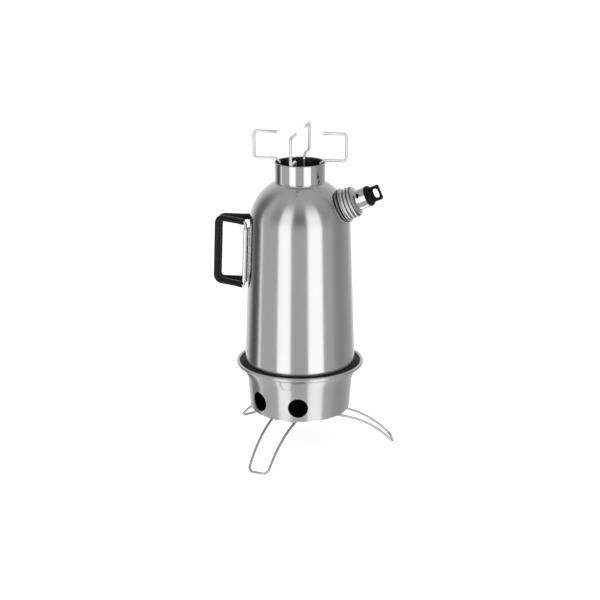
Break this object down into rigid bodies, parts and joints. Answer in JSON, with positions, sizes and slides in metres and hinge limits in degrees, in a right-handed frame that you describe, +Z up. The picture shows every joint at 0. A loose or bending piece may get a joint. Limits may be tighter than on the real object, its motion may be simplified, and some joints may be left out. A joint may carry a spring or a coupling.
{
  "type": "storm kettle",
  "caption": "Double walled stainless kettle with a central chimney on a fire bowl with folding wire legs, a pot support, a screw spout cap with whistle and a folding wire handle.",
  "frame": {"origin": "on the kettle's vertical axis, at the plane that the three wire feet stand on", "axes": "+Z up, +X towards the spout, the handle along -X"},
  "size_m": [0.1922, 0.1741, 0.3447],
  "materials": {
    "shell_steel": "stainless sheet, brushed round the body",
    "bowl_steel": "drawn stainless sheet, satin",
    "neck_steel": "stainless tube, polished",
    "flue_steel": "stainless sheet, darkened inside by the fire",
    "spout_steel": "pressed stainless, bright",
    "bracket_steel": "folded stainless sheet",
    "wire_steel": "drawn stainless wire",
    "support_steel": "drawn stainless wire, satin",
    "sleeve_black": "black heat resistant sleeve, slightly glossy",
    "seal_rubber": "black seal ring",
    "whistle_black": "black moulded plastic, satin"
  },
  "bodies": {
    "fire_bowl": {"fire_bowl": "bowl_steel", "leg_bracket_1": "bowl_steel", "leg_bracket_2": "bowl_steel", "leg_bracket_3": "bowl_steel", "bracket_rivets": "bowl_steel"},
    "leg_1": {"leg_wire_1": "wire_steel"},
    "leg_2": {"leg_wire_2": "wire_steel"},
    "leg_3": {"leg_wire_3": "wire_steel"},
    "kettle": {"outer_shell": "shell_steel", "shell_shoulder": "shell_steel", "neck_collar": "neck_steel", "flue": "flue_steel", "base_ring": "flue_steel", "spout_neck": "spout_steel", "spout_weld_ring": "spout_steel", "handle_bracket": "bracket_steel"},
    "seal": {"cap_seal": "seal_rubber"},
    "cap": {"screw_cap": "spout_steel", "whistle_tube": "spout_steel", "whistle_plates": "spout_steel", "whistle_end_cap": "whistle_black"},
    "handle_front": {"handle_wire_front": "wire_steel", "handle_sleeve_front": "sleeve_black"},
    "handle_rear": {"handle_wire_rear": "wire_steel", "handle_sleeve_rear": "sleeve_black"},
    "support_lower": {"support_wire_lower": "support_steel"},
    "support_upper": {"support_wire_upper": "support_steel"}
  },
  "joints": [
    {"name": "leg_1_fold", "type": "hinge", "parent": "fire_bowl", "child": "leg_1", "pos_m": [-0.00675, -0.03536, 0.039], "axis": [0.9823, -0.1874, 0], "range_deg": [0, 149.5]},
    {"name": "leg_2_fold", "type": "hinge", "parent": "fire_bowl", "child": "leg_2", "pos_m": [0.034, 0.01184, 0.0356], "axis": [-0.3289, 0.9444, 0], "range_deg": [0, 151.8]},
    {"name": "leg_3_fold", "type": "hinge", "parent": "fire_bowl", "child": "leg_3", "pos_m": [-0.02725, 0.02352, 0.0322], "axis": [-0.6534, -0.757, 0], "range_deg": [0, 154.2]},
    {"name": "kettle_lift", "type": "slide", "parent": "fire_bowl", "child": "kettle", "axis": [0, 0, 1], "range_m": [0, 0.08]},
    {"name": "cap_travel", "type": "slide", "parent": "kettle", "child": "seal", "axis": [0.9135, 0, 0.4067], "range_m": [0, 0.0121]},
    {"name": "cap_turn", "type": "hinge", "parent": "seal", "child": "cap", "pos_m": [0.0454, 0, 0.2655], "axis": [0.9135, 0, 0.4067], "range_deg": [0, 1440]},
    {"name": "handle_front_swing", "type": "hinge", "parent": "kettle", "child": "handle_front", "pos_m": [-0.05607, -0.014, 0.20807], "axis": [0.037, 0, 0.9993], "range_deg": [0, 120]},
    {"name": "handle_rear_swing", "type": "hinge", "parent": "kettle", "child": "handle_rear", "pos_m": [-0.05607, 0.014, 0.20807], "axis": [-0.037, 0, -0.9993], "range_deg": [0, 120]},
    {"name": "support_lower_lift", "type": "slide", "parent": "kettle", "child": "support_lower", "axis": [0, 0, 1], "range_m": [0, 0.045]},
    {"name": "support_upper_lift", "type": "slide", "parent": "support_lower", "child": "support_upper", "axis": [0, 0, 1], "range_m": [0, 0.045]}
  ],
  "couplings": [
    {"joint": "cap_travel", "follows": "cap_turn", "m_per_rad": 0.00047746}
  ]
}
